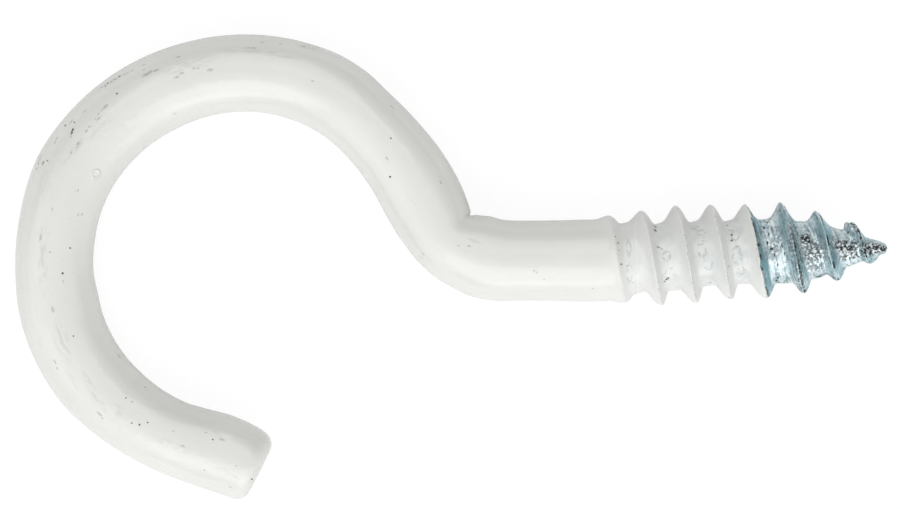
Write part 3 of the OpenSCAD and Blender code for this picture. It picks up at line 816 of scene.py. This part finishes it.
def dipped_zinc_plated_steel():
    """Zinc-plated steel wire under a dipped white coat. The coat is a warm off-white with a
    soft gloss, wavy as the wire under it, with specks and rubbed streaks; where it stops,
    the plating is a bluish bright metal, crackled in the grooves and pitted black."""
    material = bpy.data.materials.new("dipped_zinc_plated_steel")
    material.use_nodes = True
    tree = material.node_tree
    tree.nodes.clear()
    at = read_places(tree)
    coat = white_coat(tree, at)
    zinc, patches, crackle, lines, pits = bright_zinc(tree, at)

    # The coat stops at a ragged line just past a crest, and dark specks follow that line
    wave = add(tree, NOISE, {"Vector": at.place, "Scale": 1 / (0.8 * MM), "Detail": 4})
    past = add(tree, MATH, {0: wave, 1: 0.5, 2: -0.3}, operation="MULTIPLY_ADD")
    past = add(tree, MATH, {0: past, 1: at.past_coat}, operation="ADD")
    bare = add(tree, REMAP, {0: past, 1: 0.0, 2: 0.05})
    specks = add(tree, REMAP, {0: past, 1: 0.2, 2: 0.05})
    few = add(tree, REMAP, {0: at.ragged, 1: 0.52, 2: 0.6})
    specks = add(tree, MATH, {0: specks, 1: few}, operation="MULTIPLY")
    zinc = add(tree, MIX, {0: specks, 6: zinc, 7: linear("22292C")}, 2, data_type="RGBA")
    colour = add(tree, MIX, {0: bare, 6: coat, 7: zinc}, 2, data_type="RGBA")
    # Chips go through the coat to a dark film, and through the plating to black
    chip_at = add(tree, VECTOR, {0: at.chip}, "Value", operation="LENGTH")
    chip_at = add(tree, MATH, {0: at.ragged, 1: 1.2, 2: chip_at}, operation="MULTIPLY_ADD")
    chipped = add(tree, REMAP, {0: chip_at, 1: 2.05, 2: 1.5})
    film = add(tree, MIX, {0: bare, 6: linear("45443F"), 7: linear("14181A")}, 2,
               data_type="RGBA")
    colour = add(tree, MIX, {0: chipped, 6: colour, 7: film}, 2, data_type="RGBA")
    dull = add(tree, MATH, {0: pits, 1: chipped}, operation="MAXIMUM")
    whole = add(tree, MATH, {0: 1, 1: dull}, operation="SUBTRACT")
    metal = add(tree, MATH, {0: bare, 1: whole}, operation="MULTIPLY")

    # Gloss: the coat is a little duller in streaks along the wire, the flanks are satin
    gloss_way = add(tree, VECTOR, {0: at.drawn, 1: (1 / 3, 1 / 0.4, 1)}, operation="MULTIPLY")
    coat_rough = add(tree, NOISE, {"Vector": gloss_way, "Scale": 1, "Detail": 3})
    coat_rough = add(tree, REMAP, {0: coat_rough, 1: 0.35, 2: 0.65, 3: 0.06, 4: 0.17})
    coat_rough = add(tree, MIX, {0: at.on_thread, 2: coat_rough, 3: 0.28})
    zinc_rough = add(tree, REMAP, {0: at.ridge, 1: 0.03, 2: 0.14, 3: 0.52, 4: 0.44})
    rough = add(tree, MIX, {0: bare, 2: coat_rough, 3: zinc_rough})
    rough = add(tree, MIX, {0: dull, 2: rough, 3: 0.6})

    relief = surface_relief(tree, at, bare, dull, patches, crackle, lines)
    bump = add(tree, "ShaderNodeBump", {"Distance": MM, "Height": relief}, "Normal")
    surface = add(tree, "ShaderNodeBsdfPrincipled", {
        "Base Color": colour, "Metallic": metal, "Roughness": rough, "Normal": bump,
        "IOR": 1.6})
    add(tree, "ShaderNodeOutputMaterial", {"Surface": surface})
    return material


hook.data.materials.clear()
hook.data.materials.append(dipped_zinc_plated_steel())
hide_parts("hook")
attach(hook, "root")

# ---------------------------------------------------------------- floor, light and camera

TABLE_W = 4
TABLE_GLOW = 1.08           # how white it looks by itself, and the share of that look
TABLE_GLOW_SHARE = 0.8
EYE_END_X = -0.03           # the eye's far side lies beyond this


def matt_table():
    """Matt white table top. Seen straight, it is a clean even white with only a faint shadow."""
    material = bpy.data.materials.new("matt_white_table")
    material.use_nodes = True
    tree = material.node_tree
    tree.nodes.clear()
    seen = add(tree, "ShaderNodeLightPath", out="Is Camera Ray")
    paint = add(tree, "ShaderNodeBsdfDiffuse", {"Color": (0.85, 0.85, 0.85, 1)})
    glow = add(tree, "ShaderNodeEmission", {"Color": (1, 1, 1, 1), "Strength": TABLE_GLOW})
    share = add(tree, MATH, {0: seen, 1: TABLE_GLOW_SHARE}, operation="MULTIPLY")
    mixed = add(tree, "ShaderNodeMixShader", {0: share, 1: paint, 2: glow})
    add(tree, "ShaderNodeOutputMaterial", {"Surface": mixed})
    return material


# The hook rests on its thread and on the far side of its eye, whose wire is thinner than the
# thread, so the table is laid against both rather than level
spots = points_of(hook)
by_thread = spots[spots[:, 0] > 0]
by_thread = by_thread[by_thread[:, 2].argmin()]
by_eye = spots[spots[:, 0] < EYE_END_X]
by_eye = by_eye[by_eye[:, 2].argmin()]
slope = (by_thread[2] - by_eye[2]) / (by_thread[0] - by_eye[0])
deselect_all()
bpy.ops.mesh.primitive_plane_add(
    size=TABLE_W, location=(0, 0, float(by_thread[2] - slope * by_thread[0])),
    rotation=(0, -math.atan(slope), 0))
floor = bpy.context.object
floor.name = "floor"
floor.data.materials.append(matt_table())


def softbox(name, place, size, tilt, radiance, shape):
    """A soft light of an even radiance, turned about X by tilt degrees."""
    data = bpy.data.lights.new(name, "AREA")
    data.shape = shape
    data.size, data.size_y = size
    area = size[0] * size[1] * (math.pi / 4 if shape == "ELLIPSE" else 1)
    data.energy = radiance * math.pi * area
    light = bpy.data.objects.new(name, data)
    light.location = place
    light.rotation_euler = (math.radians(tilt), 0, 0)
    light.visible_camera = False
    bpy.context.scene.collection.objects.link(light)


# Four wide soft lights hang over the table from the back to the front, with the camera
# looking down between them, and a round one is tilted in front
LIGHT_HEIGHT = 0.9
FRONT_TILT = 48
tilt = math.radians(FRONT_TILT)
softbox("back_softbox", (0, 0.99, LIGHT_HEIGHT), (1, 1.32), 0, 1.02, "RECTANGLE")
softbox("middle_softbox", (0, 0, LIGHT_HEIGHT), (3, 0.66), 0, 0.33, "RECTANGLE")
softbox("front_softbox", (0, -1.66, LIGHT_HEIGHT), (3, 2.67), 0, 0.59, "RECTANGLE")
softbox("near_softbox", (0, -0.71, LIGHT_HEIGHT), (1, 0.77), 0, 0.48, "RECTANGLE")
softbox("round_softbox", (0, -LIGHT_HEIGHT * math.sin(tilt), LIGHT_HEIGHT * math.cos(tilt)),
        (0.85, 0.957), FRONT_TILT, 0.75, "ELLIPSE")

# The walls of the tent glow softly in places: azimuth and elevation in degrees, radiance
WALL_LIGHT = 0.28
WALL_GLOWS = (
    (216, 8, 0.95), (288, 8, 0.95), (324, 8, 0.9), (180, 32, 0.58), (90, 32, 0.37),
    (270, 32, 0.32), (60, 60, 0.3), (120, 60, 0.16), (240, 60, 0.37),
)
GLOW_REACH = 36             # degrees


def tent_walls():
    """The walls of the light tent, dim behind and to the right."""
    world = bpy.data.worlds.new("tent_walls")
    bpy.context.scene.world = world
    world.use_nodes = True
    tree = world.node_tree
    tree.nodes.clear()
    way = add(tree, "ShaderNodeTexCoord", out="Generated")
    light = WALL_LIGHT
    for azimuth, elevation, radiance in WALL_GLOWS:
        turn, lift = math.radians(azimuth), math.radians(elevation)
        to_glow = (math.cos(turn) * math.cos(lift), math.sin(turn) * math.cos(lift),
                   math.sin(lift))
        near = add(tree, VECTOR, {0: way, 1: to_glow}, "Value", operation="DOT_PRODUCT")
        glow = add(tree, REMAP, {0: near, 1: math.cos(math.radians(GLOW_REACH)), 2: 1,
                                 4: radiance}, interpolation_type="SMOOTHSTEP")
        light = add(tree, MATH, {0: light, 1: glow}, operation="ADD")
    seen = add(tree, "ShaderNodeLightPath", out="Is Camera Ray")
    lit = add(tree, "ShaderNodeBackground", {"Color": (1, 1, 1, 1), "Strength": light})
    pale = add(tree, "ShaderNodeBackground", {"Color": (1, 1, 1, 1), "Strength": 1.0})
    mixed = add(tree, "ShaderNodeMixShader", {0: seen, 1: lit, 2: pale})
    add(tree, "ShaderNodeOutputWorld", {"Surface": mixed})


tent_walls()

CAMERA_HEIGHT = 0.5
VIEW_WIDTH = 0.0621         # what the camera sees at the hook's own height
VIEW_OFFSET = (-0.00002, 0.0009)    # how far it stands off the hook's middle
middle = [(low + high) / 2 for low, high in zip(*cad_box)]
camera_data = bpy.data.cameras.new("camera")
camera = bpy.data.objects.new("camera", camera_data)
bpy.context.scene.collection.objects.link(camera)
camera.location = (middle[0] + VIEW_OFFSET[0], middle[1] + VIEW_OFFSET[1], CAMERA_HEIGHT)
camera_data.lens = camera_data.sensor_width * CAMERA_HEIGHT / VIEW_WIDTH
camera_data.clip_start = 0.01
bpy.context.scene.camera = camera
bpy.context.scene.view_settings.view_transform = "Standard"
bpy.context.scene.view_settings.look = "None"
